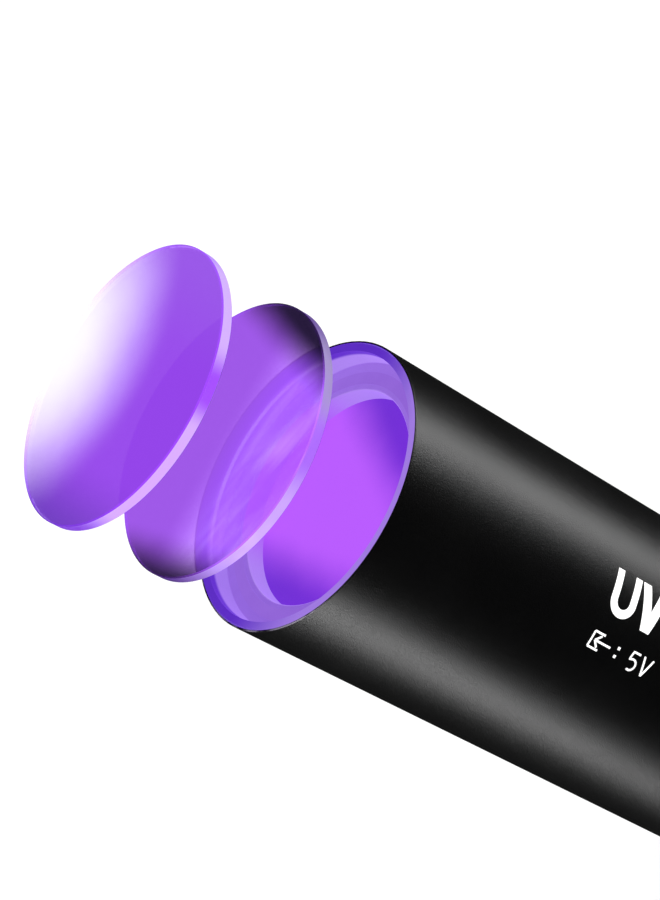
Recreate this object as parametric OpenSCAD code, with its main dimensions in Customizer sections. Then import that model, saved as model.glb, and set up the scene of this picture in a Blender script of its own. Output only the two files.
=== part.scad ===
// Hand-held UV curing lamp: a plain tube with a lit, stepped mouth, two glass discs
// that lift out of it, and a screw-off tail cap with the charging port and the button.
// The lamp stands on its tail. +Z runs along its axis towards the mouth, and the
// origin is at the centre of the flat ring that it stands on. The discs are drawn
// lifted out of the mouth, one above the other.

/* [Barrel] */
// Outside diameter of the barrel
body_d = 38; // [36:0.5:42]
// Height from the standing ring to the rim of the mouth
body_h = 118; // [117:0.5:140]
// Height of the tail cap's outside
tail_h = 22; // [22:0.5:24]

/* [Mouth] */
// Diameter of the seat that the glass discs drop into
seat_d = 35.4; // [34:0.1:35.6]
// Depth of the seat's ledge below the rim
seat_depth = 3.6; // [3.5:0.1:4]
// Diameter of the lit opening inside the ledge
light_d = 28.3; // [26:0.1:28.6]
// Depth of the frosted window below the rim
window_depth = 6.3; // [6:0.1:7]

/* [Glass discs] */
// Diameter of both discs
disc_d = 35.2; // [33.8:0.1:35.2]
// Thickness of each disc
disc_t = 1.5; // [1.2:0.1:1.5]
// Gap between the rim and the filter disc, as drawn
filter_lift = 11.8; // [6:0.1:20]
// Gap between the two discs, as drawn
front_lift = 13.7; // [6:0.1:20]

/* [Battery] */
// Diameter of the cell
cell_d = 18.4; // [18:0.1:18.6]
// Length of the cell with its terminal
cell_l = 65; // [64.5:0.1:65]

/* [Port and button] */
// Width of the port door
door_w = 12; // [11.5:0.1:12.2]
// Diameter of the power button
button_d = 13.7; // [10:0.1:14]

/* [Hidden] */
$fn = 96;
eps = 0.01;

body_r = body_d / 2;
seat_r = seat_d / 2;
light_r = light_d / 2;
disc_r = disc_d / 2;
cell_r = cell_d / 2;
button_r = button_d / 2;

// Bores of the tube
bore_r = 17;            // both ends
mid_bore_r = 16.2;      // between them, which leaves a shoulder for the head
rim_pocket_r = 18.8;    // shallow counterbore for the bezel's rim
rim_pocket_depth = 1.2;
pocket_r = 18.3;        // deeper one for its seat
pocket_depth = 5;
lip_chamfer = 0.12;
seam_chamfer = 0.25;
spigot_h = 8;
head_l = 30;            // from the shoulder to the rim
shoulder_z = body_h - head_l;
bore_end_z = tail_h + spigot_h + 0.6;

// Head, from the rim down
rim_r = 18.65;
rim_chamfer_h = 0.12;
window_t = 1.5;
reflector_h = 5;
led_board_t = 1.6;
pad_t = 0.5;
sink_h = 10;
ledge_z = body_h - seat_depth;
window_z = body_h - window_depth - window_t;
reflector_z = window_z - reflector_h;
led_board_z = reflector_z - led_board_t;
pad_z = led_board_z - pad_t;
sink_z = pad_z - sink_h;
pcb_t = 1.6;
driver_top_z = shoulder_z + pcb_t;
cup_r = 14.9;           // outside of the window and the reflector
cup_bore_r = 15;
throat_r = 8.8;         // narrow end of the reflector
cup_wall = 0.8;
gasket_w = 1.6;
gasket_proud = 0.1;
gasket_sunk = 0.4;
emitter_ring_r = 5.6;
emitter_side = 3.5;
emitter_base_t = 0.7;
dome_r = 1.4;
screw_ring_r = 13;
wire_ring_r = 12.5;
wire_r = 0.6;

// Glass
filter_z = body_h + filter_lift;
front_z = filter_z + disc_t + front_lift;
disc_edge = 0.15;       // small bevel on both edges of a disc

// Battery and its carrier
terminal_h = 1.5;
terminal_r = 3;
cell_z = 19.6;
terminal_z = cell_z + cell_l - terminal_h;
carrier_z = bore_end_z + 0.4;
carrier_h = 54;
carrier_bore_r = cell_r + 0.2;
carrier_sleeve_t = 1;
carrier_r = mid_bore_r - 0.1;
rib_count = 8;
rib_w = 1.6;
strip_r = 13;
strip_w = 4;
strip_t = 0.5;

// Tail cap
foot_r = 18.4;          // outer edge of the standing ring
recess_r = 11.6;        // inner edge of the standing ring
recess_h = 2.4;
floor_z = 4.6;          // top of the wall around the button
hole_r = button_r + 0.15;
lower_cavity_r = 13.5;
cavity_r = 15.2;
board_z = 12.4;
board_top_z = board_z + pcb_t;
spigot_r = bore_r - 0.1;
thread_root_r = spigot_r - 0.45;
thread_low_z = tail_h + 3.4;
thread_high_z = tail_h + 7.4;
groove_z = tail_h + 1.2;
groove_h = 1.2;
groove_r = 16;
seal_minor_r = 0.45;
flute_count = 54;       // grip flutes around the cap, below the port
flute_r = 0.7;
flute_depth = 0.35;
flute_low_z = 2.4;
flute_h = 5.6;

// Port and its door
usb_w = 8.94;
usb_h = 3.26;
usb_l = 7.3;
usb_front_y = 14.4;
port_z = board_top_z + usb_h / 2;
pin_z = port_z - 3.7;
pin_y = 17;
pin_r = 0.5;
pin_l = door_w + 2.2;
knuckle_r = 1.1;
knuckle_l = 9;
door_low = -2.6;        // lower edge of the door's bay, from the pin
door_top = 6.6;         // upper edge of the door, from the pin
bay_top = 7;
bay_floor_y = 16.6;     // where the shallow part of the bay ends
deep_floor_y = 15.7;
door_back_y = 16.8;
door_r = body_r - 0.1;

// Button
button_low_z = 1;
flange_r = 8.4;
flange_z = floor_z + 0.1;
flange_h = 0.9;
stem_r = 2;
plunger_low_z = 8;
switch_z = 8.9;
switch_side = 6.2;
plunger_r = 1.75;
seal_low_z = 3;
seal_groove_h = 1.1;
seal_groove_r = button_r - 0.9;

// Light pipe, turned away from the port
pipe_turn = -55;
pipe_r = 0.9;
pipe_inner = 13.4;

// Round pieces
module ring(outer, inner, h, z = 0) {
    translate([0, 0, z]) difference() {
        cylinder(r = outer, h = h);
        translate([0, 0, -1]) cylinder(r = inner, h = h + 2);
    }
}

module torus(major, minor, z) {
    translate([0, 0, z]) rotate_extrude() translate([major, 0]) circle(r = minor, $fn = 32);
}

module around(count, radius, start = 0) {
    for (i = [0 : count - 1])
        rotate([0, 0, start + i * 360 / count]) translate([radius, 0, 0]) children();
}

module chip(x, y, w, d, h, z) {
    translate([x - w / 2, y - d / 2, z]) cube([w, d, h]);
}

// ---------- head ----------

// Black tube. Its front lip is a thin edge around the bezel.
module barrel_tube() {
    color("#141416") difference() {
        rotate_extrude() polygon([
            [bore_r, tail_h], [body_r - seam_chamfer, tail_h], [body_r, tail_h + seam_chamfer],
            [body_r, body_h - lip_chamfer], [body_r - lip_chamfer / 2, body_h],
            [rim_pocket_r, body_h], [rim_pocket_r, body_h - rim_pocket_depth],
            [pocket_r, body_h - rim_pocket_depth], [pocket_r, body_h - pocket_depth],
            [bore_r, body_h - pocket_depth], [bore_r, shoulder_z],
            [mid_bore_r, shoulder_z], [mid_bore_r, bore_end_z], [bore_r, bore_end_z]
        ]);
        // Small relief where the front bore meets its shoulder
        ring(bore_r + 0.2, bore_r - 0.5, 0.6, shoulder_z);
    }
}

// Violet ring: bevelled rim, seat for the discs, ledge, and the wall of the lit opening.
module bezel_ring() {
    gasket_out = light_r + 0.7 + gasket_w;
    color("#6a2fd0") rotate_extrude() polygon([
        [cup_bore_r, reflector_z], [bore_r, reflector_z],
        [bore_r, body_h - pocket_depth], [pocket_r, body_h - pocket_depth],
        [pocket_r, body_h - rim_pocket_depth], [rim_pocket_r, body_h - rim_pocket_depth],
        [rim_pocket_r, body_h - 0.1], [rim_r, body_h],
        [seat_r, body_h - rim_chamfer_h], [seat_r, ledge_z],
        [gasket_out, ledge_z], [gasket_out, ledge_z - gasket_sunk],
        [light_r + 0.7, ledge_z - gasket_sunk], [light_r + 0.7, ledge_z],
        [light_r + 0.15, ledge_z], [light_r, ledge_z - 0.15],
        [light_r, window_z + window_t], [cup_bore_r, window_z + window_t]
    ]);
}

// Clear silicone ring let into the ledge, just proud of it
module glass_gasket() {
    color("#b79bf0") ring(light_r + 0.7 + gasket_w, light_r + 0.7,
        gasket_sunk + gasket_proud, ledge_z - gasket_sunk);
}

// Frosted window at the bottom of the mouth
module diffuser_window() {
    color("#b95cff") rotate_extrude() polygon([
        [0, window_z], [cup_r, window_z], [cup_r, window_z + window_t], [0, window_z + window_t]
    ]);
}

// Bright cone between the emitters and the window
module reflector_cup() {
    color("#e6e6ea") rotate_extrude() polygon([
        [throat_r, reflector_z], [throat_r + cup_wall, reflector_z],
        [cup_r - 0.9, window_z - 1], [cup_r, window_z - 1], [cup_r, window_z],
        [cup_r - cup_wall, window_z]
    ]);
}

module led_board() {
    color("#f2f2ee") difference() {
        translate([0, 0, led_board_z]) cylinder(r = bore_r - 0.4, h = led_board_t);
        translate([0, 0, led_board_z - 1]) around(2, screw_ring_r) cylinder(r = 1.1, h = 4, $fn = 32);
        translate([0, 0, led_board_z - 1]) around(2, wire_ring_r, 90)
            cylinder(r = wire_r + 0.1, h = 4, $fn = 32);
    }
}

module emitter() {
    chip(0, 0, emitter_side, emitter_side, emitter_base_t, reflector_z);
    translate([0, 0, reflector_z + emitter_base_t]) intersection() {
        sphere(r = dome_r, $fn = 48);
        cylinder(r = dome_r, h = dome_r);
    }
}

// Seven packages: one in the middle, six around it
module led_emitters() {
    color("#d9c8ff") {
        emitter();
        around(6, emitter_ring_r) emitter();
    }
}

module led_board_screws() {
    shank_l = 7;
    head_h = 1.1;
    color("silver") around(2, screw_ring_r) difference() {
        union() {
            translate([0, 0, reflector_z - shank_l]) cylinder(r = 0.95, h = shank_l + eps, $fn = 32);
            translate([0, 0, reflector_z]) cylinder(r = 1.6, h = head_h, $fn = 32);
        }
        for (turn = [0, 90]) rotate([0, 0, turn]) chip(0, 0, 1.9, 0.4, 1, reflector_z + 0.6);
    }
}

// Two short leads from the driver through the heat sink, each with its solder cap
module led_wires() {
    color("#b02020") around(2, wire_ring_r, 90) {
        translate([0, 0, driver_top_z])
            cylinder(r = wire_r, h = reflector_z + 0.2 - driver_top_z, $fn = 32);
        translate([0, 0, reflector_z]) cylinder(r = 1, h = 0.5, $fn = 32);
    }
}

module thermal_pad() {
    color("#8fa7b8") difference() {
        translate([0, 0, pad_z]) cylinder(r = bore_r - 1, h = pad_t);
        translate([0, 0, pad_z - 1]) around(4, screw_ring_r) cylinder(r = 1.7, h = 4, $fn = 32);
    }
}

// Aluminium slug that carries the heat to the tube. The driver sits under its skirt.
module heat_sink() {
    skirt_t = 1.4;
    fin_h = 1.2;
    color("#c3c7cc") difference() {
        union() {
            translate([0, 0, sink_z]) cylinder(r = bore_r, h = sink_h);
            ring(bore_r - 0.3, bore_r - 0.3 - skirt_t, sink_z - driver_top_z + eps, driver_top_z);
        }
        for (i = [0 : 2]) ring(bore_r + 1, bore_r - 2, fin_h, sink_z + 1.6 + i * 2.6);
        translate([0, 0, sink_z + 2]) around(2, screw_ring_r) cylinder(r = 1, h = sink_h, $fn = 32);
        translate([0, 0, sink_z - 1]) around(2, wire_ring_r, 90)
            cylinder(r = wire_r + 0.3, h = sink_h + 2, $fn = 32);
    }
}

module driver_board() {
    color("#0f5a35") translate([0, 0, shoulder_z]) cylinder(r = bore_r - 0.1, h = pcb_t);
}

module driver_inductor() {
    color("#3a3a3d") translate([0, 4.6, driver_top_z]) {
        cylinder(r = 3.4, h = 2.8, $fn = 48);
        chip(0, 0, 7.4, 7.4, 0.5, 0);
    }
}

module driver_chips() {
    color("#1b1b1d") {
        chip(-5.5, -3.5, 5, 4, 1.2, driver_top_z);
        chip(3, -5.2, 3, 3, 1, driver_top_z);
        for (i = [0 : 3]) chip(-8 + i * 2.2, -8.4, 1.2, 0.8, 0.6, driver_top_z);
        for (i = [0 : 2]) chip(7.4, 1 + i * 2, 1.6, 1, 0.7, driver_top_z);
    }
}

// Brass button on the driver board that meets the cell's terminal
module front_contact() {
    gap = shoulder_z - terminal_z - terminal_h;
    color("#c9a24a") translate([0, 0, shoulder_z - gap]) {
        cylinder(r = 2.4, h = gap, $fn = 48);
        translate([0, 0, gap - 0.6]) cylinder(r = 4.5, h = 0.6, $fn = 48);
    }
}

// ---------- battery ----------

// Plastic sleeve with ribs that centre it in the tube
module battery_carrier() {
    end_ring_h = 2;
    color("#2c2c30") difference() {
        union() {
            ring(carrier_bore_r + carrier_sleeve_t, carrier_bore_r, carrier_h, carrier_z);
            for (z = [carrier_z, carrier_z + carrier_h - end_ring_h])
                ring(carrier_r, carrier_bore_r, end_ring_h, z);
            around(rib_count, 0, 180 / rib_count)
                translate([carrier_bore_r + 0.5, -rib_w / 2, carrier_z])
                    cube([carrier_r - carrier_bore_r - 1, rib_w, carrier_h]);
        }
        // Way through the end rings for the bus strip
        chip(0, -strip_r - 0.25, strip_w + 0.4, strip_t + 1.2, carrier_h + 2, carrier_z - 1);
    }
}

module battery_cell() {
    edge = 0.6;
    color("#3b7fd0") rotate_extrude() polygon([
        [0, cell_z], [cell_r - edge, cell_z], [cell_r, cell_z + edge],
        [cell_r, terminal_z - edge], [cell_r - edge, terminal_z], [0, terminal_z]
    ]);
}

module cell_terminal() {
    color("silver") translate([0, 0, terminal_z]) {
        cylinder(r = terminal_r, h = terminal_h, $fn = 48);
        cylinder(r = 5, h = 0.3, $fn = 48);
    }
}

// Brass strip that carries the charging current past the cell. Its foot slides on the ring contact.
module bus_strip() {
    foot_z = board_top_z + 4.25;
    color("#c9a24a") {
        chip(0, -strip_r - strip_t / 2, strip_w, strip_t, shoulder_z - foot_z, foot_z);
        chip(0, -strip_r - 0.7, strip_w, 1.4, strip_t, foot_z);
    }
}

// ---------- glass discs ----------

module disc(z) {
    rotate_extrude() polygon([
        [0, z], [disc_r - disc_edge, z], [disc_r, z + disc_edge],
        [disc_r, z + disc_t - disc_edge], [disc_r - disc_edge, z + disc_t], [0, z + disc_t]
    ]);
}

module filter_glass() {
    color("#5a2fb0", 0.8) disc(filter_z);
}

module front_glass() {
    color("#9a5cf0", 0.6) disc(front_z);
}

// ---------- tail ----------

module tail_o_ring() {
    color("#202022") torus(groove_r + seal_minor_r + 0.02, seal_minor_r, groove_z + groove_h / 2);
}

// Bay that the port door folds into: a shallow part for the door, a deep one for its plug
module door_bay() {
    bay_h = bay_top - door_low;
    plug_room = 6.2;
    translate([-(door_w + 0.6) / 2, bay_floor_y, pin_z + door_low]) cube([door_w + 0.6, 6, bay_h]);
    translate([-(door_w - 0.6) / 2, deep_floor_y, pin_z + 0.8]) cube([door_w - 0.6, 6, plug_room]);
    // Round the bottom of the bay clears the knuckle
    translate([-(knuckle_l + 0.6) / 2, pin_y, pin_z]) rotate([0, 90, 0])
        cylinder(r = knuckle_r + 0.3, h = knuckle_l + 0.6, $fn = 48);
}

// Cap with the standing ring, the button's hole, the charging port, grip flutes and the spigot
module tail_cap() {
    slot_w = usb_w + 0.5;
    slot_h = usb_h + 0.4;
    color("#141416") difference() {
        rotate_extrude() polygon([
            [hole_r, recess_h], [recess_r, recess_h], [recess_r, 0.5], [recess_r + 0.5, 0],
            [foot_r, 0], [body_r, body_r - foot_r], [body_r, tail_h - seam_chamfer],
            [body_r - seam_chamfer, tail_h], [spigot_r - 0.3, tail_h],
            [spigot_r - 0.3, groove_z - 0.5], [spigot_r, groove_z - 0.2],
            [spigot_r, groove_z], [groove_r, groove_z], [groove_r, groove_z + groove_h],
            [spigot_r, groove_z + groove_h], [spigot_r, thread_low_z - 0.4],
            [thread_root_r, thread_low_z], [thread_root_r, thread_high_z],
            [spigot_r - 0.2, thread_high_z + 0.3], [spigot_r - 0.4, tail_h + spigot_h],
            [cavity_r, tail_h + spigot_h],
            [cavity_r, board_z], [lower_cavity_r, board_z], [lower_cavity_r, floor_z],
            [hole_r, floor_z]
        ]);
        door_bay();
        chip(0, usb_front_y + 2, slot_w, 6, slot_h, board_top_z - 0.2);
        // Drilling for the hinge pin
        translate([-pin_l / 2, pin_y, pin_z]) rotate([0, 90, 0])
            cylinder(r = pin_r, h = pin_l, $fn = 32);
        // Hole for the light pipe
        light_pipe_shape(0.05);
        around(flute_count, body_r + flute_r - flute_depth) translate([0, 0, flute_low_z])
            cylinder(r = flute_r, h = flute_h, $fn = 24);
    }
}

module charge_board() {
    color("#0f5a35") translate([0, 0, board_z]) cylinder(r = cavity_r - 0.1, h = pcb_t);
}

// Plastic ring that holds the board down, open where the port is
module board_ring() {
    color("#2c2c30") difference() {
        ring(cavity_r - 0.1, 12.2, 3.7, board_top_z);
        chip(0, 12, usb_w + 0.6, 10, usb_h + 1.2, board_top_z - 0.6);
        light_pipe_shape(0.3);
        rotate([0, 0, pipe_turn]) chip(0, 13, 3, 4, 2, board_top_z - eps);
    }
}

module ring_contact() {
    color("#c9a24a") ring(14.6, 12.6, 0.5, board_top_z + 3.7);
}

// Coil spring under the cell: a true helix of round wire, swept with eight sides
function spring_point(t, turns, low_r, top_r, low_z, top_z) =
    let (r = low_r + (top_r - low_r) * t, a = 360 * turns * t)
    [r * cos(a), r * sin(a), low_z + (top_z - low_z) * t];

module battery_spring() {
    turns = 4;
    steps = 72;
    sides = 8;
    spring_wire_r = 0.4;
    low_z = board_top_z + spring_wire_r + 0.3;
    top_z = cell_z - spring_wire_r;
    path = [for (i = [0 : steps]) spring_point(i / steps, turns, 5.2, 3.2, low_z, top_z)];
    rings = [
        for (i = [0 : steps])
            let (a = 360 * turns * i / steps, out = [cos(a), sin(a), 0])
            [for (j = [0 : sides - 1])
                let (b = 360 * j / sides)
                path[i] + spring_wire_r * (cos(b) * out + [0, 0, sin(b)])]
    ];
    points = [for (r = rings) for (p = r) p];
    walls = [
        for (i = [0 : steps - 1]) for (j = [0 : sides - 1])
            let (k = (j + 1) % sides)
            [i * sides + j, i * sides + k, (i + 1) * sides + k, (i + 1) * sides + j]
    ];
    low_end = [for (j = [sides - 1 : -1 : 0]) j];
    top_end = [for (j = [0 : sides - 1]) steps * sides + j];
    color("silver") {
        polyhedron(points = points, faces = concat(walls, [low_end], [top_end]), convexity = 6);
        ring(5.8, 4.6, 0.4, board_top_z);
    }
}

module rounded_bar(w, h, l) {
    for (x = [-(w - h) / 2, (w - h) / 2]) translate([x, 0, 0]) cylinder(r = h / 2, h = l, $fn = 48);
    translate([-(w - h) / 2, -h / 2, 0]) cube([w - h, h, l]);
}

// Shell of the charging socket, open towards the door
module usb_shell() {
    shell_t = 0.3;
    color("silver") translate([0, usb_front_y, port_z]) rotate([90, 0, 0]) difference() {
        rounded_bar(usb_w, usb_h, usb_l);
        translate([0, 0, -1]) rounded_bar(usb_w - 2 * shell_t, usb_h - 2 * shell_t, usb_l - 0.5);
    }
}

module usb_tongue() {
    color("#1b1b1d") translate([0, usb_front_y, port_z]) rotate([90, 0, 0]) {
        translate([-3.35, -0.35, 0.7]) cube([6.7, 0.7, usb_l - 2.2]);
        translate([0, 0, usb_l - 2.5]) rounded_bar(usb_w - 0.8, usb_h - 0.8, 1);
    }
}

module charge_chips() {
    color("#1b1b1d") {
        chip(-8.6, 1, 4, 4, 1, board_top_z);
        chip(8.6, 2, 3, 3, 0.9, board_top_z);
        for (i = [0 : 2]) chip(-9.4 + i * 2, -5.6, 1.2, 0.8, 0.6, board_top_z);
        for (i = [0 : 2]) chip(8.2, -4 + i * 1.8, 1.6, 0.8, 0.7, board_top_z);
    }
}

module charge_inductor() {
    color("#3a3a3d") translate([0, -9, board_top_z]) {
        cylinder(r = 2.4, h = 2.6, $fn = 48);
        chip(0, 0, 5.2, 5.2, 0.5, 0);
    }
}

module switch_body() {
    color("#26262a") difference() {
        chip(0, 0, switch_side, switch_side, board_z - switch_z, switch_z);
        translate([0, 0, switch_z - 1]) cylinder(r = plunger_r + 0.1, h = 3.2, $fn = 48);
    }
}

module switch_plunger() {
    color("#d8d2c2") translate([0, 0, plunger_low_z])
        cylinder(r = plunger_r, h = switch_z + 1.5 - plunger_low_z, $fn = 48);
}

// Charge light: a small lamp on the board and a clear rod to the outside
module light_pipe_shape(grow) {
    rotate([0, 0, pipe_turn]) translate([0, pipe_inner - grow, board_top_z + 1.3]) rotate([-90, 0, 0])
        cylinder(r = pipe_r + grow, h = body_r + 1 - pipe_inner, $fn = 32);
}

module light_pipe() {
    color("#dff3ff", 0.7) intersection() {
        light_pipe_shape(0);
        cylinder(r = body_r - 0.15, h = body_h);
    }
}

module indicator_led() {
    color("#f5f0d0") rotate([0, 0, pipe_turn]) chip(0, 12.5, 1.2, 1.6, 1.6, board_top_z);
}

// ---------- port door ----------

module door_pin() {
    color("silver") translate([-pin_l / 2, pin_y, pin_z]) rotate([0, 90, 0])
        cylinder(r = pin_r, h = pin_l, $fn = 32);
}

// Door with its knuckle. Its outside follows the cap.
module port_door() {
    plate_low = knuckle_r + 0.25;
    color("#1a1a1c") difference() {
        union() {
            intersection() {
                translate([-door_w / 2, door_back_y, pin_z + plate_low])
                    cube([door_w, 4, door_top - plate_low]);
                translate([0, 0, 1]) cylinder(r = door_r, h = body_h);
            }
            translate([-knuckle_l / 2, pin_y, pin_z]) rotate([0, 90, 0])
                cylinder(r = knuckle_r, h = knuckle_l, $fn = 48);
            translate([-knuckle_l / 2, door_back_y, pin_z]) cube([knuckle_l, knuckle_r + 0.2, 2]);
        }
        translate([-door_w, pin_y, pin_z]) rotate([0, 90, 0])
            cylinder(r = pin_r + 0.06, h = 2 * door_w, $fn = 32);
        // Finger notch in the upper edge
        translate([0, body_r + 0.6, pin_z + door_top]) rotate([0, 90, 0])
            translate([0, 0, -2.5]) cylinder(r = 1.3, h = 5, $fn = 32);
    }
}

// Silicone pad on the door's back that fills the port's mouth
module door_plug() {
    plug_w = 10.4;
    plug_low = 1.7;
    plug_h = 4.2;
    color("#3a3a3e") translate([-plug_w / 2, deep_floor_y + 0.3, pin_z + plug_low])
        cube([plug_w, door_back_y - deep_floor_y - 0.3, plug_h]);
}

// ---------- power button ----------

module power_button() {
    edge = 0.5;
    dish_r = 4.4;
    dish_h = 0.3;
    stem_top_z = plunger_low_z - 0.1;
    color("#1c1c1f") rotate_extrude() polygon([
        [0, button_low_z + dish_h], [dish_r, button_low_z + dish_h], [dish_r + 1, button_low_z],
        [button_r - edge, button_low_z], [button_r, button_low_z + edge],
        [button_r, seal_low_z], [seal_groove_r, seal_low_z],
        [seal_groove_r, seal_low_z + seal_groove_h], [button_r, seal_low_z + seal_groove_h],
        [button_r, flange_z], [flange_r, flange_z], [flange_r, flange_z + flange_h],
        [stem_r, flange_z + flange_h], [stem_r, stem_top_z], [0, stem_top_z]
    ]);
}

module button_seal() {
    color("#202022") torus(seal_groove_r + seal_minor_r + 0.02, seal_minor_r,
        seal_low_z + seal_groove_h / 2);
}

barrel_tube();
bezel_ring();
glass_gasket();
diffuser_window();
reflector_cup();
led_board();
led_emitters();
led_board_screws();
led_wires();
thermal_pad();
heat_sink();
driver_board();
driver_inductor();
driver_chips();
front_contact();
battery_carrier();
battery_cell();
cell_terminal();
bus_strip();
filter_glass();
front_glass();
tail_o_ring();
tail_cap();
charge_board();
board_ring();
ring_contact();
battery_spring();
usb_shell();
usb_tongue();
charge_chips();
charge_inductor();
switch_body();
switch_plunger();
indicator_led();
light_pipe();
door_pin();
port_door();
door_plug();
power_button();
button_seal();
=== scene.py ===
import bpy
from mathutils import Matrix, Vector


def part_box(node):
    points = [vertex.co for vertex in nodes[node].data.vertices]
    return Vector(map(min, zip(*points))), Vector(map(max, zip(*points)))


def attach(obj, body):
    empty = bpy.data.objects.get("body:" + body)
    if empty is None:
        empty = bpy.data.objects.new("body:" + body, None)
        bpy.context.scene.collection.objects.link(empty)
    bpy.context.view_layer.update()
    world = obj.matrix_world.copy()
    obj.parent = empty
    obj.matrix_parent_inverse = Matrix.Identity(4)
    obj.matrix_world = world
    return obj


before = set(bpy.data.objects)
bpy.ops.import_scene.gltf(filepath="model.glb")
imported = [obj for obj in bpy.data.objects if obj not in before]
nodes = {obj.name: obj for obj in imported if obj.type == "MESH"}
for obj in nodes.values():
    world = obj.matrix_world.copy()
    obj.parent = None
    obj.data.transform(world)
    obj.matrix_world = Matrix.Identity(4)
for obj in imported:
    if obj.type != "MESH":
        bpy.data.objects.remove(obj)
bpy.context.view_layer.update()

import math

import bpy
from mathutils import Matrix, Vector

scene = bpy.context.scene

# ---------- sizes, all from the frame ----------

tube_low, tube_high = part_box("barrel_tube")
tube_r = tube_high.x
rim_z = tube_high.z
ledge_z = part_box("glass_gasket")[1].z

# The viewer is on the -Y side, turned this far towards +X. ACROSS is square to that, and both are level.
TURN = math.radians(20)
ACROSS = Vector((math.cos(TURN), math.sin(TURN), 0))
TOWARDS = Vector((math.sin(TURN), -math.cos(TURN), 0))
UP = Vector((0, 0, 1))


# ---------- node building ----------

class Paint:
    """A material with one Principled shader, and short names for the nodes that drive it."""

    def __init__(self, name, **constants):
        self.material = bpy.data.materials.new(name)
        self.material.use_nodes = True
        self.tree = self.material.node_tree
        self.tree.nodes.clear()
        output = self.tree.nodes.new("ShaderNodeOutputMaterial")
        self.shader = self.tree.nodes.new("ShaderNodeBsdfPrincipled")
        self.tree.links.new(self.shader.outputs[0], output.inputs[0])
        self.coordinates = self.tree.nodes.new("ShaderNodeTexCoord")
        self.place = self.coordinates.outputs["Object"]
        for socket, value in constants.items():
            self.put(socket.replace("_", " "), value)

    def feed(self, socket, value):
        """Links a socket to another node's output, or sets it to a number or colour."""
        if isinstance(value, bpy.types.NodeSocket):
            self.tree.links.new(value, socket)
        elif socket.type == "RGBA" and len(value) == 3:
            socket.default_value = (*value, 1)
        else:
            socket.default_value = value

    def put(self, name, value):
        """Feeds one of the shader's own sockets."""
        self.feed(self.shader.inputs[name], value)

    def calc(self, operation, a, b=0.0, c=0.0):
        node = self.tree.nodes.new("ShaderNodeMath")
        node.operation = operation
        for socket, value in zip(node.inputs, (a, b, c)):
            self.feed(socket, value)
        return node.outputs[0]

    def step(self, value, low, high):
        """Smooth rise from 0 to 1 as value goes from low to high. A low above the high makes it a fall."""
        node = self.tree.nodes.new("ShaderNodeMapRange")
        node.interpolation_type = "SMOOTHSTEP"
        for socket, given in zip(node.inputs, (value, low, high)):
            self.feed(socket, given)
        return node.outputs["Result"]

    def mix(self, share, a, b, kind="MIX"):
        node = self.tree.nodes.new("ShaderNodeMix")
        node.data_type, node.blend_type = "RGBA", kind
        self.feed(node.inputs["Factor"], share)
        self.feed(node.inputs[6], a)
        self.feed(node.inputs[7], b)
        return node.outputs[2]

    def stretched(self, x, y, z):
        """The place, scaled along each axis, which draws a pattern out where the scale is small."""
        node = self.tree.nodes.new("ShaderNodeVectorMath")
        node.operation = "MULTIPLY"
        self.feed(node.inputs[0], self.place)
        node.inputs[1].default_value = (x, y, z)
        return node.outputs[0]

    def noise(self, size, detail=2.0, rough=0.5, vector=None, bend=0.0):
        """Noise with features about this many metres across, from 0 to 1."""
        node = self.tree.nodes.new("ShaderNodeTexNoise")
        self.feed(node.inputs["Vector"], self.place if vector is None else vector)
        node.inputs["Scale"].default_value = 1 / size
        node.inputs["Detail"].default_value = detail
        node.inputs["Roughness"].default_value = rough
        node.inputs["Distortion"].default_value = bend
        return node.outputs["Fac"]

    def cell_borders(self, size):
        """Distance to the nearest border between cells about this many metres across."""
        node = self.tree.nodes.new("ShaderNodeTexVoronoi")
        node.feature = "DISTANCE_TO_EDGE"
        self.feed(node.inputs["Vector"], self.place)
        node.inputs["Scale"].default_value = 1 / size
        return node.outputs["Distance"]

    def axes(self):
        node = self.tree.nodes.new("ShaderNodeSeparateXYZ")
        self.feed(node.inputs[0], self.place)
        return node.outputs

    def facing(self):
        """The surface's own normal, in the object's frame."""
        node = self.tree.nodes.new("ShaderNodeSeparateXYZ")
        self.feed(node.inputs[0], self.coordinates.outputs["Normal"])
        return node.outputs

    def across(self):
        """Places across the tube and along the line to the viewer's side, as shares of the tube's radius."""
        x, y, _ = self.axes()
        u = self.calc("MULTIPLY_ADD", x, ACROSS.x / tube_r, self.calc("MULTIPLY", y, ACROSS.y / tube_r))
        v = self.calc("MULTIPLY_ADD", x, TOWARDS.x / tube_r, self.calc("MULTIPLY", y, TOWARDS.y / tube_r))
        return u, v

    def radius(self):
        x, y, _ = self.axes()
        return self.calc("SQRT", self.calc("MULTIPLY_ADD", x, x, self.calc("MULTIPLY", y, y)))

    def bump(self, height, depth):
        """A bump whose full height is this many metres."""
        node = self.tree.nodes.new("ShaderNodeBump")
        node.inputs["Strength"].default_value = 1.0
        node.inputs["Distance"].default_value = depth
        self.feed(node.inputs["Height"], height)
        self.put("Normal", node.outputs[0])


def spread(p, value, low, high):
    """Turns a value from 0 to 1 into one from low to high."""
    return p.calc("MULTIPLY_ADD", value, high - low, low)


def uneven(p, value, low, high, finer, amount):
    """The same, pushed up or down by this amount by a second value."""
    return p.calc("ADD", spread(p, value, low, high), spread(p, finer, -amount, amount))


# ---------- metals and plastics ----------

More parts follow.
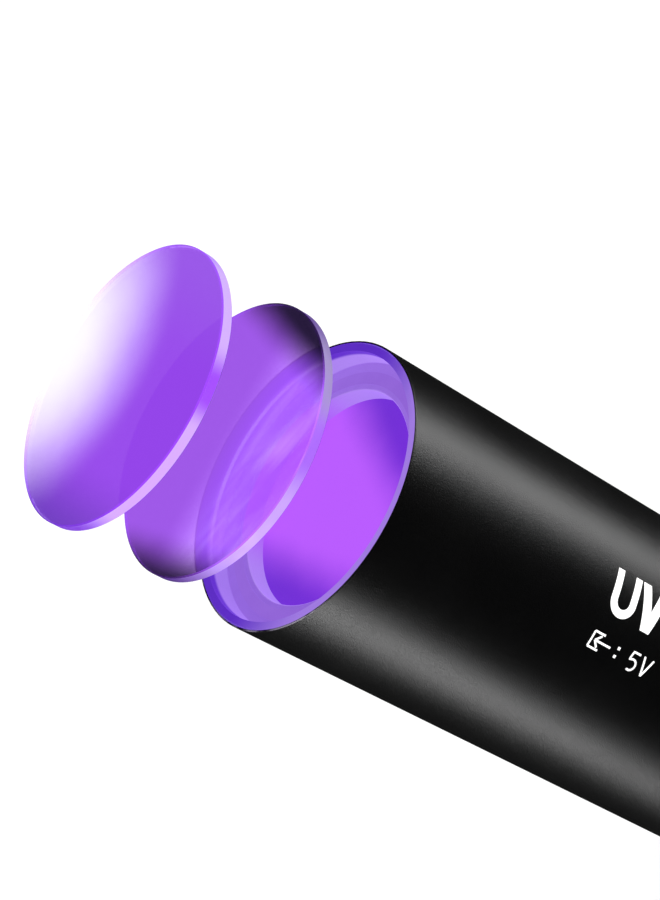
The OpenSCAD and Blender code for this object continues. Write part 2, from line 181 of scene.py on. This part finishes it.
def blasted_black(name, dark, light, rough, lip_z):
    """Bead-blasted, anodised aluminium: a fine even grain, and a painted highlight along the lip, in patches
    at one side.
    """
    p = Paint(name, IOR=1.5)
    grain = p.noise(0.00016, 2.0, 0.65)
    smudge = p.noise(0.011, 3.0, 0.55)
    black = p.mix(p.calc("MULTIPLY", grain, smudge), dark, light)
    # Painted highlight: a pale line along the lip, in patches, only towards the -u side of the tube
    lip = p.step(p.axes()[2], lip_z - 0.00013, lip_z - 0.00007)
    one_side = p.step(p.across()[0], -0.45, -0.7)
    patches = p.step(p.noise(0.004, 3.0, 0.6), 0.35, 0.6)
    lip_highlight = p.calc("MULTIPLY", p.calc("MULTIPLY", lip, one_side), patches)
    p.put("Base Color", p.mix(lip_highlight, black, (0.16, 0.14, 0.2)))
    p.put("Roughness", uneven(p, smudge, rough - 0.03, rough + 0.04, grain, 0.05))
    p.bump(grain, 0.00003)
    return p


def metal(name, dark, light, rough, stretch=(1, 1, 1), size=0.0004, depth=0.000004):
    """Bare or plated metal with fine machining lines, drawn out by stretch, and light wear."""
    p = Paint(name, Metallic=1.0)
    lines = p.noise(size, 3.0, 0.6, p.stretched(*stretch))
    wear = p.noise(0.004, 2.0)
    p.put("Base Color", p.mix(lines, dark, light))
    p.put("Roughness", uneven(p, lines, rough - 0.06, rough + 0.06, wear, 0.05))
    p.bump(lines, depth)
    return p


def moulded(name, dark, light, rough, size=0.0003, depth=0.00001):
    """Moulded plastic or rubber: a fine mould texture under slow changes of colour and gloss."""
    p = Paint(name, IOR=1.5)
    texture = p.noise(size, 3.0, 0.6)
    cloud = p.noise(0.006, 2.0)
    p.put("Base Color", p.mix(cloud, dark, light))
    p.put("Roughness", uneven(p, texture, rough - 0.07, rough + 0.07, cloud, 0.04))
    p.bump(texture, depth)
    return p


def board(name, mask, copper):
    """Solder mask with faint copper tracks under it."""
    p = Paint(name, IOR=1.5)
    tracks = p.step(p.cell_borders(0.0022), 0.04, 0.07)
    weave = p.noise(0.0005, 2.0, 0.5, p.stretched(1, 1, 0.2))
    p.put("Base Color", p.mix(p.calc("MULTIPLY", tracks, spread(p, weave, 0.75, 1.0)), copper, mask))
    p.put("Roughness", spread(p, weave, 0.3, 0.42))
    p.bump(p.calc("ADD", tracks, p.calc("MULTIPLY", weave, 0.2)), 0.00002)
    return p


# ---------- the lit head ----------

def ends(p, u, low, high):
    """0 in the middle, and 1 towards both ends."""
    return p.step(p.calc("ABSOLUTE", u), low, high)


def slanting(p, u, v, by_u, by_v):
    """How far a point lies in a slanting direction across the mouth: u and v, weighted."""
    return p.calc("MULTIPLY_ADD", u, by_u, p.calc("MULTIPLY", v, by_v))


def oval(p, u, v, centre, size):
    """Distance from a centre on the disc, where 1 is the edge of an oval of this size."""
    across = p.calc("POWER", p.calc("DIVIDE", p.calc("SUBTRACT", u, centre[0]), size[0]), 2.0)
    towards = p.calc("POWER", p.calc("DIVIDE", p.calc("SUBTRACT", v, centre[1]), size[1]), 2.0)
    return p.calc("SQRT", p.calc("ADD", across, towards))


def wandering(p, value, size, amount):
    """The value, pushed a little up and down by a cloudy noise."""
    return p.calc("ADD", value, p.calc("MULTIPLY", p.calc("SUBTRACT", p.noise(size, 2.0), 0.5), amount))


# Outside this radius the ring shows its ledge, and inside it the wall of the lit opening
THROAT_R = 0.0142
# Width of the deep violet line round the ring's outer edge
OUTLINE = 0.00022


def violet_ring():
    """Violet anodised ring, its lamp-lit look painted on as glow: a deep rim, pale seat wall, ledge and
    throat.
    """
    p = Paint("violet_ring", IOR=1.5, Emission_Strength=1.0)
    z = p.axes()[2]
    r = p.radius()
    u, v = p.across()
    end = ends(p, u, 0.30, 0.70)
    flat = p.step(r, tube_r - OUTLINE - 0.00008, tube_r - OUTLINE)
    # Painted highlight: the rim turns from deep violet to lavender towards the viewer's side
    rim = p.mix(p.step(v, 0.0, 0.75), (0.10, 0.018, 0.53), (0.34, 0.19, 0.72))
    rim = p.mix(flat, rim, (0.08, 0.012, 0.42))
    # Painted light and shade: the seat wall and the ledge are a little lighter towards the +u side
    seat = p.mix(p.step(u, -0.9, 0.9), (0.34, 0.18, 0.76), (0.40, 0.23, 0.80))
    ledge = p.mix(p.step(u, -0.8, 0.8), (0.28, 0.13, 0.67), (0.31, 0.15, 0.71))
    # Painted light: the throat glows magenta along the middle and lavender towards both ends
    throat = p.mix(end, (0.40, 0.075, 0.88), (0.40, 0.23, 0.80))
    inner = p.mix(p.step(r, THROAT_R, THROAT_R + 0.00004), throat, ledge)
    high = p.step(z, rim_z - 0.0014, rim_z - 0.0008)
    walls = p.mix(p.step(z, ledge_z - 0.0001, ledge_z + 0.0002), inner, seat)
    colour = p.mix(high, walls, rim)
    turned = p.noise(0.00022, 2.0, 0.5, p.stretched(0.15, 0.15, 1))
    cloud = p.noise(0.006, 2.0)
    shade = uneven(p, turned, 0.92, 1.02, cloud, 0.05)
    # The whole colour is given off as painted glow; the base colour is kept nearly black
    p.put("Emission Color", p.mix(1.0, colour, p.mix(shade, (0, 0, 0), (0.93, 0.93, 0.93)), "MULTIPLY"))
    p.put("Base Color", p.mix(0.88, colour, (0.01, 0.004, 0.04)))
    p.put("Roughness", spread(p, turned, 0.3, 0.42))
    p.bump(turned, 0.000006)
    return p


def gasket():
    """Clear silicone with the violet of the ledge round it painted on as glow."""
    p = Paint("gasket_silicone", IOR=1.42, Emission_Strength=1.0)
    cloud = p.noise(0.003, 3.0)
    p.put("Base Color", p.mix(cloud, (0.02, 0.01, 0.06), (0.03, 0.015, 0.08)))
    # Painted glow in the ledge's violet
    p.put("Emission Color", p.mix(cloud, (0.25, 0.11, 0.60), (0.29, 0.135, 0.66)))
    p.put("Roughness", spread(p, cloud, 0.35, 0.5))
    p.bump(p.noise(0.0005, 2.0), 0.00001)
    return p


def frosted():
    """Frosted window, lit from behind: brightest along the middle, with painted shade in deep violet at both
    ends.
    """
    p = Paint("frosted_window", IOR=1.49, Emission_Strength=1.0)
    u, v = p.across()
    frost = p.noise(0.00025, 3.0, 0.6)
    high_side = wandering(p, slanting(p, u, v, 0.9, 0.38), 0.009, 0.10)
    low_side = wandering(p, slanting(p, u, v, -1.0, 0.12), 0.009, 0.10)
    # Painted shade: the glow falls to deep violet towards both ends
    end = p.calc("MAXIMUM", p.step(high_side, 0.20, 0.60), p.step(low_side, 0.27, 0.66))
    dark = p.mix(p.step(v, -0.4, 0.6), (0.15, 0.020, 0.60), (0.17, 0.020, 0.65))
    colour = p.mix(end, (0.475, 0.098, 0.94), dark)
    shade = p.mix(frost, (0.90, 0.90, 0.92), (1.0, 1.0, 1.0))
    p.put("Emission Color", p.mix(1.0, colour, shade, "MULTIPLY"))
    p.put("Base Color", p.mix(0.9, colour, (0.01, 0.003, 0.05)))
    p.put("Roughness", spread(p, frost, 0.45, 0.62))
    p.bump(frost, 0.000014)
    return p


def disc(name, light, clear, edge_light, ior):
    """Polished glass whose upper face has the lamp's light painted on as glow, with a ground edge whose
    painted glints come in patches.
    """
    p = Paint(name, IOR=ior, Transmission_Weight=1.0, Emission_Strength=1.0)
    up = p.facing()[2]
    u, v = p.across()
    top = p.step(up, 0.25, 0.6)
    edge = p.calc("SUBTRACT", 1.0, p.step(p.calc("ABSOLUTE", up), 0.25, 0.6))
    # Painted glow on the upper face and painted glints on the edge, both given off as light
    face = p.mix(top, (0, 0, 0), light(p, u, v))
    p.put("Emission Color", p.mix(edge, face, edge_light(p, u, v)))
    p.put("Base Color", p.mix(edge, clear(p, u, v), (0.05, 0.035, 0.09)))
    smear = p.noise(0.002, 3.0, 0.6, p.stretched(1, 1, 0.2))
    p.put("Roughness", p.calc("ADD", p.calc("MULTIPLY", edge, 0.4), spread(p, smear, 0.01, 0.05)))
    p.bump(p.calc("MULTIPLY", p.noise(0.0003, 2.0), edge), 0.00001)
    return p


def fading(p, u, v):
    """How violet the front disc is: it clears towards the far side."""
    far = oval(p, u, v, (-0.02, -1.0), (0.84, 0.90))
    return p.step(wandering(p, far, 0.007, 0.12), 0.22, 1.45)


def front_light(p, u, v):
    """Light on the front disc's upper face: violet, deeper at the low end, and gone where the disc clears."""
    violet = p.mix(p.step(u, 0.2, 0.9), (0.245, 0.052, 0.62), (0.25, 0.075, 0.60))
    violet = p.mix(p.step(u, -0.45, -1.0), violet, (0.11, 0.03, 0.37))
    return p.mix(fading(p, u, v), (0.07, 0.065, 0.075), violet)


def front_clear(p, u, v):
    """What the front disc lets through: nearly all where it is clear, and little where it is violet."""
    return p.mix(fading(p, u, v), (0.985, 0.97, 1.0), (0.035, 0.018, 0.07))


def front_edge(p, u, v):
    """The ground edge has painted glints on both sides of a dim middle stretch, and a painted pale glow at
    the far side.
    """
    beside = p.calc("ABSOLUTE", wandering(p, p.calc("SUBTRACT", u, 0.24), 0.009, 0.10))
    bright = p.mix(p.step(u, -0.5, 0.5), (0.60, 0.40, 0.85), (0.55, 0.42, 0.79))
    shine = p.mix(p.step(beside, 0.06, 0.26), (0.25, 0.055, 0.70), bright)
    shine = p.mix(p.step(u, -0.66, -0.86), shine, (0.17, 0.045, 0.50))
    shine = p.mix(p.step(u, 0.84, 0.98), shine, (0.25, 0.10, 0.56))
    pale = p.mix(fading(p, u, v), (0.90, 0.88, 0.92), (0.22, 0.06, 0.60))
    return p.mix(p.step(v, -0.35, 0.1), pale, shine)


def filter_dark(p, u, v):
    """Where the filter glass shows nearly black: in a crescent at each end."""
    high_side = wandering(p, slanting(p, u, v, 0.98, 0.2), 0.009, 0.05)
    dark_high = p.step(high_side, 0.57, 0.87)
    dark_high = p.calc("MULTIPLY", dark_high, p.step(v, 1.0, 0.75))
    low_side = wandering(p, slanting(p, u, v, -0.98, 0.2), 0.009, 0.05)
    dark_low = p.step(low_side, 0.62, 0.94)
    return p.calc("MAXIMUM", dark_high, dark_low)


def filter_light(p, u, v):
    """Violet, with pale streaks of reflected light along the viewer's side."""
    violet = p.mix(p.step(v, 0.0, 0.8), (0.255, 0.075, 0.58), (0.17, 0.05, 0.36))
    streaks = p.step(p.noise(0.0034, 2.0, 0.5, p.stretched(0.25, 1, 1), 0.4), 0.42, 0.75)
    near = p.calc("MULTIPLY", p.step(v, 0.15, 0.6), p.step(v, 1.05, 0.75))
    violet = p.mix(p.calc("MULTIPLY", p.calc("MULTIPLY", streaks, near), 0.32), violet, (0.55, 0.40, 0.78))
    return p.mix(filter_dark(p, u, v), violet, (0.012, 0.006, 0.028))


def filter_clear(p, u, v):
    """What the filter lets through: little, but more towards the viewer's side."""
    tint = p.mix(p.step(v, -0.05, 0.7), (0.045, 0.018, 0.08), (0.42, 0.29, 0.60))
    return p.mix(filter_dark(p, u, v), tint, (0.008, 0.005, 0.014))


def filter_edge(p, u, v):
    """Painted glints along the filter's edge: grey at the high side, violet in the middle, bright below it,
    and dark at the low end.
    """
    low = p.mix(p.step(u, -0.92, -0.58), (0.03, 0.022, 0.05), (0.62, 0.46, 0.88))
    middle = p.mix(p.step(u, -0.15, 0.15), low, (0.30, 0.12, 0.62))
    high = p.mix(p.step(u, 0.3, 0.55), middle, (0.29, 0.28, 0.31))
    high = p.mix(p.step(u, 0.75, 0.97), high, (0.04, 0.03, 0.06))
    duller = p.mix(0.25, high, (0.12, 0.05, 0.3))
    seen = p.mix(p.step(p.noise(0.008, 2.0, 0.6), 0.35, 0.65), duller, high)
    far = p.mix(p.step(p.noise(0.006, 2.0, 0.6), 0.35, 0.65), (0.10, 0.035, 0.26), (0.22, 0.09, 0.50))
    far = p.mix(filter_dark(p, u, v), far, (0.03, 0.022, 0.05))
    return p.mix(p.step(v, -0.45, -0.05), far, seen)


def glowing(name, base, light, rough):
    """Clear or tinted plastic that gives off a little light."""
    p = Paint(name, IOR=1.45, Emission_Strength=1.0)
    cloud = p.noise(0.0012, 2.0)
    p.put("Base Color", p.mix(cloud, base, tuple(c * 0.8 for c in base)))
    p.put("Emission Color", p.mix(cloud, light, tuple(c * 0.7 for c in light)))
    p.put("Roughness", spread(p, cloud, rough - 0.05, rough + 0.05))
    p.bump(p.noise(0.0003, 2.0), 0.000004)
    return p


def print_ink():
    """White pad-printed ink, slightly thin and uneven, with a painted glow that keeps it bright."""
    p = Paint("print_ink", IOR=1.5, Emission_Strength=1.0)
    wear = p.noise(0.00018, 3.0, 0.6)
    p.put("Base Color", p.mix(p.step(wear, 0.25, 0.4), (0.55, 0.55, 0.56), (0.9, 0.9, 0.9)))
    # Painted glow: the ink gives off a little light, less where it is thin
    p.put("Emission Color", p.mix(p.step(wear, 0.25, 0.4), (0.15, 0.15, 0.16), (0.35, 0.35, 0.35)))
    p.put("Roughness", spread(p, wear, 0.45, 0.65))
    p.bump(wear, 0.000008)
    return p


painted = {
    "black_anodised": blasted_black(
        "black_anodised", (0.0008, 0.0008, 0.0009), (0.003, 0.003, 0.0033), 0.31, rim_z),
    "violet_anodised": violet_ring(),
    "clear_silicone": gasket(),
    "frosted_window": frosted(),
    "mirror_plastic": metal("mirror_plastic", (0.8, 0.8, 0.82), (0.92, 0.92, 0.95), 0.1),
    "white_board": board("white_board", (0.82, 0.82, 0.80), (0.7, 0.69, 0.62)),
    "emitter": glowing("emitter", (0.8, 0.7, 0.95), (0.5, 0.25, 1.0), 0.12),
    "steel": metal("steel", (0.5, 0.5, 0.52), (0.68, 0.68, 0.7), 0.3),
    "red_lead": moulded("red_lead", (0.45, 0.03, 0.02), (0.55, 0.05, 0.03), 0.45),
    "thermal_pad": moulded("thermal_pad", (0.35, 0.45, 0.52), (0.45, 0.55, 0.6), 0.8),
    "bare_aluminium": metal("bare_aluminium", (0.55, 0.56, 0.58), (0.74, 0.75, 0.77), 0.32, (0.2, 0.2, 1)),
    "green_board": board("green_board", (0.012, 0.11, 0.05), (0.05, 0.22, 0.09)),
    "ferrite": moulded("ferrite", (0.03, 0.03, 0.033), (0.06, 0.06, 0.065), 0.6),
    "chip_black": moulded("chip_black", (0.012, 0.012, 0.013), (0.025, 0.025, 0.027), 0.5),
    "brass": metal("brass", (0.55, 0.38, 0.14), (0.75, 0.55, 0.24), 0.28, (0.2, 0.2, 1)),
    "dark_plastic": moulded("dark_plastic", (0.02, 0.02, 0.022), (0.035, 0.035, 0.038), 0.55),
    "cell_wrap": moulded("cell_wrap", (0.03, 0.15, 0.45), (0.05, 0.2, 0.55), 0.25, 0.003),
    "filter_glass": disc("filter_glass", filter_light, filter_clear, filter_edge, 1.5),
    "front_glass": disc("front_glass", front_light, front_clear, front_edge, 1.47),
    "seal_rubber": moulded("seal_rubber", (0.008, 0.008, 0.009), (0.016, 0.016, 0.017), 0.6),
    "ivory_plastic": moulded("ivory_plastic", (0.66, 0.62, 0.5), (0.74, 0.7, 0.58), 0.35),
    "clear_rod": glowing("clear_rod", (0.32, 0.36, 0.42), (0.03, 0.04, 0.06), 0.15),
    "door_plastic": moulded(
        "door_plastic", (0.006, 0.006, 0.0065), (0.012, 0.012, 0.013), 0.55, 0.00025, 0.000015),
    "door_silicone": moulded("door_silicone", (0.03, 0.03, 0.032), (0.045, 0.045, 0.048), 0.65),
    "black_button": metal(
        "black_button", (0.015, 0.015, 0.016), (0.04, 0.04, 0.042), 0.34, (0.15, 0.15, 1), 0.0002),
}

slot_of = {
    "barrel_tube": "black_anodised", "tail_cap": "black_anodised",
    "bezel_ring": "violet_anodised", "glass_gasket": "clear_silicone",
    "diffuser_window": "frosted_window", "reflector_cup": "mirror_plastic",
    "led_board": "white_board", "led_emitters": "emitter", "led_board_screws": "steel",
    "led_wires": "red_lead", "thermal_pad": "thermal_pad", "heat_sink": "bare_aluminium",
    "driver_board": "green_board", "driver_inductor": "ferrite", "driver_chips": "chip_black",
    "front_contact": "brass", "battery_carrier": "dark_plastic", "battery_cell": "cell_wrap",
    "cell_terminal": "steel", "bus_strip": "brass", "filter_glass": "filter_glass",
    "front_glass": "front_glass", "tail_o_ring": "seal_rubber", "charge_board": "green_board",
    "board_ring": "dark_plastic", "ring_contact": "brass", "battery_spring": "steel",
    "usb_shell": "steel", "usb_tongue": "chip_black", "charge_chips": "chip_black",
    "charge_inductor": "ferrite", "switch_body": "ivory_plastic", "switch_plunger": "dark_plastic",
    "indicator_led": "emitter", "light_pipe": "clear_rod", "door_pin": "steel",
    "port_door": "door_plastic", "door_plug": "door_silicone", "power_button": "black_button",
    "button_seal": "seal_rubber",
}
for name, thing in nodes.items():
    thing.data.materials.clear()
    thing.data.materials.append(painted[slot_of[name]].material)


# ---------- printing on the barrel ----------

INK_R = tube_r + 0.00001
INK_T = 0.00002
LEAN = 0.08


def on_barrel(along, height, angle, start_z, r):
    """A printed point: along the tube, and height round it from an angle off the viewer's side."""
    turn = angle + height / tube_r
    around = TOWARDS * math.cos(turn) + ACROSS * math.sin(turn)
    return around * r + UP * (start_z - along)


def stroke(points, width):
    """A stroke of this width along points, as pairs of corners."""
    pairs = []
    for i, point in enumerate(points):
        before = points[max(i - 1, 0)]
        after = points[min(i + 1, len(points) - 1)]
        line = Vector((after[0] - before[0], after[1] - before[1])).normalized()
        side = Vector((-line.y, line.x)) * width / 2
        pairs.append((Vector(point) + side, Vector(point) - side))
    return pairs


def line(a, b, pieces=16):
    """Points along a straight line from a to b."""
    return [(a[0] + (b[0] - a[0]) * i / pieces, a[1] + (b[1] - a[1]) * i / pieces) for i in range(pieces + 1)]


def arc(centre, r, start, end, pieces=24):
    """Points along an arc, from one angle in degrees to another."""
    turns = [math.radians(start + (end - start) * i / pieces) for i in range(pieces + 1)]
    return [(centre[0] + r * math.cos(t), centre[1] + r * math.sin(t)) for t in turns]


def slab(low_left, low_right, high_left, high_right, pieces=16):
    """A four-sided patch with level ends, as pairs of corners from its foot up."""
    return list(zip(line(low_left, high_left, pieces), line(low_right, high_right, pieces)))


def printed(name, patches, angle, start_z):
    """Thin ink on the barrel. Each patch is a list of pairs of corners."""
    corners, faces = [], []
    for pairs in patches:
        first = len(corners)
        for pair in pairs:
            for x, y in pair:
                corners.append(on_barrel(x + y * LEAN, y, angle, start_z, INK_R + INK_T))
                corners.append(on_barrel(x + y * LEAN, y, angle, start_z, INK_R))
        for i in range(len(pairs) - 1):
            a, b = first + 4 * i, first + 4 * i + 4
            faces += [(a, a + 2, b + 2, b), (a + 1, b + 1, b + 3, a + 3)]
            faces += [(a, b, b + 1, a + 1), (a + 2, a + 3, b + 3, b + 2)]
        last = first + 4 * (len(pairs) - 1)
        faces += [(first, first + 1, first + 3, first + 2), (last, last + 2, last + 3, last + 1)]
    mesh = bpy.data.meshes.new(name)
    mesh.from_pydata(corners, [], faces)
    mesh.validate()
    mesh.materials.append(ink)
    piece = bpy.data.objects.new(name, mesh)
    scene.collection.objects.link(piece)
    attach(piece, "barrel")
    return piece


def glyph_u(x, width, height, bold):
    """Two upright stems on a half-round foot."""
    middle = (width - bold) / 2
    left = x + bold / 2
    path = line((left, height), (left, middle + bold / 2))
    path += arc((left + middle, middle + bold / 2), middle, 180, 360)[1:]
    path += line((left + 2 * middle, middle + bold / 2), (left + 2 * middle, height))[1:]
    return [stroke(path, bold)]


def glyph_v(x, width, height, top, foot):
    """The arms are as wide as top at their upper ends, and meet in a foot of that width."""
    middle = x + width / 2
    notch = height * foot / (width + foot - 2 * top)
    share = notch / height
    out_left = middle - foot / 2 + (x - middle + foot / 2) * share
    out_right = 2 * middle - out_left
    return [
        slab((out_left, notch), (middle, notch), (x, height), (x + top, height)),
        slab((middle, notch), (out_right, notch), (x + width - top, height), (x + width, height)),
        slab((middle - foot / 2, 0), (middle + foot / 2, 0), (out_left, notch), (out_right, notch)),
    ]


def glyph_five(x, width, height, thin):
    """A flat top, a short stem and an open bowl."""
    bowl = height * 0.31
    path = line((x + width, height), (x + 0.12 * width, height), 6)
    path += line((x + 0.12 * width, height), (x, height * 0.56), 6)[1:]
    path += arc((x + width - bowl, bowl), bowl, 125, -115, 20)[1:]
    return [stroke(path, thin)]


ink = print_ink().material
BIG, BOLD = 0.00595, 0.00112
BIG_TURN, BIG_Z = math.radians(13.6), rim_z - 0.0352
big = glyph_u(0, 0.0044, BIG, BOLD) + glyph_v(0.0047, 0.0048, BIG, 0.00142, 0.0016)
prints = [printed("big_print", big, BIG_TURN, BIG_Z)]

SMALL, THIN = 0.0026, 0.00027
SMALL_TURN, SMALL_Z = math.radians(-1.5), rim_z - 0.0348
small = [stroke(line(a, b), THIN) for a, b in (
    ((0, 0.1 * SMALL), (0, 0.9 * SMALL)),
    ((0, 0.9 * SMALL), (0.0018, 0.9 * SMALL)),
    ((0, 0.1 * SMALL), (0.0018, 0.1 * SMALL)),
    ((0.0006, 0.5 * SMALL), (0.0034, 0.5 * SMALL)),
    ((0.0014, 0.80 * SMALL), (0.0006, 0.5 * SMALL)),
    ((0.0014, 0.20 * SMALL), (0.0006, 0.5 * SMALL)),
)]
small += [stroke(line((0.0045, y * SMALL), (0.0049, y * SMALL), 3), 0.0004) for y in (0.25, 0.68)]
small += glyph_five(0.0070, 0.0014, 0.9 * SMALL, THIN)
small += glyph_v(0.0090, 0.0019, 0.95 * SMALL, 0.0003, 0.0003)
prints.append(printed("small_print", small, SMALL_TURN, SMALL_Z))


# ---------- screw thread on the tail's spigot ----------

THREAD_ROOT, THREAD_CREST, PITCH = 0.01640, 0.01690, 0.0015
THREAD_LOW, THREAD_HIGH = tube_low.z + 0.0034, tube_low.z + 0.0074


def thread_ridge(name, segments=72):
    """One helical ridge in the spigot's relief, rising from nothing and running out again at its ends."""
    rise = THREAD_HIGH - THREAD_LOW - 0.9 * PITCH
    turns = rise / PITCH
    count = round(segments * turns)
    corners, faces = [], []
    for i in range(count + 1):
        share = i / count
        around = Vector((math.cos(math.tau * turns * share), math.sin(math.tau * turns * share), 0))
        middle = THREAD_LOW + 0.45 * PITCH + rise * share
        crest = THREAD_ROOT + (THREAD_CREST - THREAD_ROOT) * min(1, 0.1 + 9 * min(share, 1 - share))
        for r, offset in ((THREAD_ROOT, -0.42), (crest, -0.1), (crest, 0.1), (THREAD_ROOT, 0.42)):
            corners.append(around * r + UP * (middle + offset * PITCH))
    for i in range(count):
        for j in range(4):
            a, b = 4 * i + j, 4 * i + (j + 1) % 4
            faces.append((a, a + 4, b + 4, b))
    faces += [(0, 1, 2, 3), tuple(4 * count + j for j in (3, 2, 1, 0))]
    mesh = bpy.data.meshes.new(name)
    mesh.from_pydata(corners, [], faces)
    mesh.validate()
    mesh.materials.append(painted["black_anodised"].material)
    piece = bpy.data.objects.new(name, mesh)
    scene.collection.objects.link(piece)
    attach(piece, "tail")
    return piece


thread = thread_ridge("tail_thread")


# ---------- stage ----------

HALF_FLOOR = 4.0
FLOOR_Z = -0.00005
FLOOR_CORNERS = [(x * HALF_FLOOR, y * HALF_FLOOR, FLOOR_Z) for x, y in ((-1, -1), (1, -1), (1, 1), (-1, 1))]
floor_mesh = bpy.data.meshes.new("floor")
floor_mesh.from_pydata(FLOOR_CORNERS, [], [(0, 1, 2, 3)])
floor = bpy.data.objects.new("floor", floor_mesh)
scene.collection.objects.link(floor)
paper = Paint("paper", Roughness=0.9, Emission_Strength=1.0)
fleck = paper.noise(0.02, 2.0)
paper.put("Base Color", paper.mix(fleck, (0.78, 0.78, 0.78), (0.82, 0.82, 0.82)))
paper.put("Emission Color", (0.32, 0.32, 0.32))
floor_mesh.materials.append(paper.material)
floor.visible_glossy = False
floor.visible_shadow = False

# The studio is white all round, but nearly dark in reflections, so that the black tube stays black
WHITE, MIRRORED_WHITE = 1.0, 0.006
world = bpy.data.worlds.new("studio")
scene.world = world
world.use_nodes = True
tree = world.node_tree
tree.nodes.clear()
light_path = tree.nodes.new("ShaderNodeLightPath")
either = tree.nodes.new("ShaderNodeMixShader")
world_out = tree.nodes.new("ShaderNodeOutputWorld")
tree.links.new(light_path.outputs["Is Glossy Ray"], either.inputs[0])
for slot, strength in ((1, WHITE), (2, MIRRORED_WHITE)):
    background = tree.nodes.new("ShaderNodeBackground")
    background.inputs["Color"].default_value = (1, 1, 1, 1)
    background.inputs["Strength"].default_value = strength
    tree.links.new(background.outputs[0], either.inputs[slot])
tree.links.new(either.outputs[0], world_out.inputs[0])

# The strips' light lands on the solid parts only: in the polished discs it would mirror as hard white patches
solid_parts = bpy.data.collections.new("solid_parts")
for thing in [*nodes.values(), *prints, thread]:
    if thing not in (nodes["filter_glass"], nodes["front_glass"]):
        solid_parts.objects.link(thing)


def softbox(name, turn, lift, distance, width, height, power):
    """A soft light on the solid parts, turned by degrees from the viewer's side, and facing the axis."""
    light = bpy.data.lights.new(name, "AREA")
    light.shape = "RECTANGLE"
    light.size, light.size_y = width, height
    light.energy = power
    thing = bpy.data.objects.new(name, light)
    scene.collection.objects.link(thing)
    a = math.radians(turn)
    away = TOWARDS * math.cos(a) + ACROSS * math.sin(a)
    thing.location = away * distance + UP * lift
    aim = thing.location - UP * lift
    thing.rotation_mode = "QUATERNION"
    thing.rotation_quaternion = aim.to_track_quat("Z", "Y")
    thing.visible_camera = False
    thing.visible_transmission = False
    thing.light_linking.receiver_collection = solid_parts


softbox("upper_strip", turn=79, lift=0.02, distance=0.5, width=0.20, height=0.9, power=2.9)
softbox("lower_strip", turn=-76, lift=0.02, distance=0.5, width=0.20, height=0.9, power=2.75)
softbox("back_strip", turn=150, lift=0.16, distance=0.6, width=0.2, height=0.35, power=0.7)
softbox("back_strip_left", turn=-145, lift=0.16, distance=0.6, width=0.12, height=0.35, power=0.5)

# ---------- camera: a long lens, looking into the mouth, with the lamp lying down and to the right ----------

FROM_AXIS = math.radians(56.26)
AXIS_RISE = math.radians(29.4)
LENS = 96.0
DISTANCE = 15.118 * tube_r
OFF_RIGHT, OFF_UP = -1.06, -1.352

forward = -TOWARDS * math.sin(FROM_AXIS) - UP * math.cos(FROM_AXIS)
level_up = -TOWARDS * math.cos(FROM_AXIS) + UP * math.sin(FROM_AXIS)
roll = AXIS_RISE - math.pi / 2
right = ACROSS * math.cos(roll) + level_up * math.sin(roll)
upward = -ACROSS * math.sin(roll) + level_up * math.cos(roll)
mouth = Vector((0, 0, rim_z))
eye = mouth - (right * (OFF_RIGHT / LENS) + upward * (OFF_UP / LENS) + forward) * DISTANCE

lens = bpy.data.cameras.new("camera")
lens.lens = LENS
lens.sensor_width = 36.0
lens.clip_start, lens.clip_end = 0.01, 20.0
camera = bpy.data.objects.new("camera", lens)
scene.collection.objects.link(camera)
facing = Matrix((right, upward, -forward)).transposed().to_4x4()
camera.matrix_world = Matrix.Translation(eye) @ facing
scene.camera = camera
scene.view_settings.view_transform = "Standard"
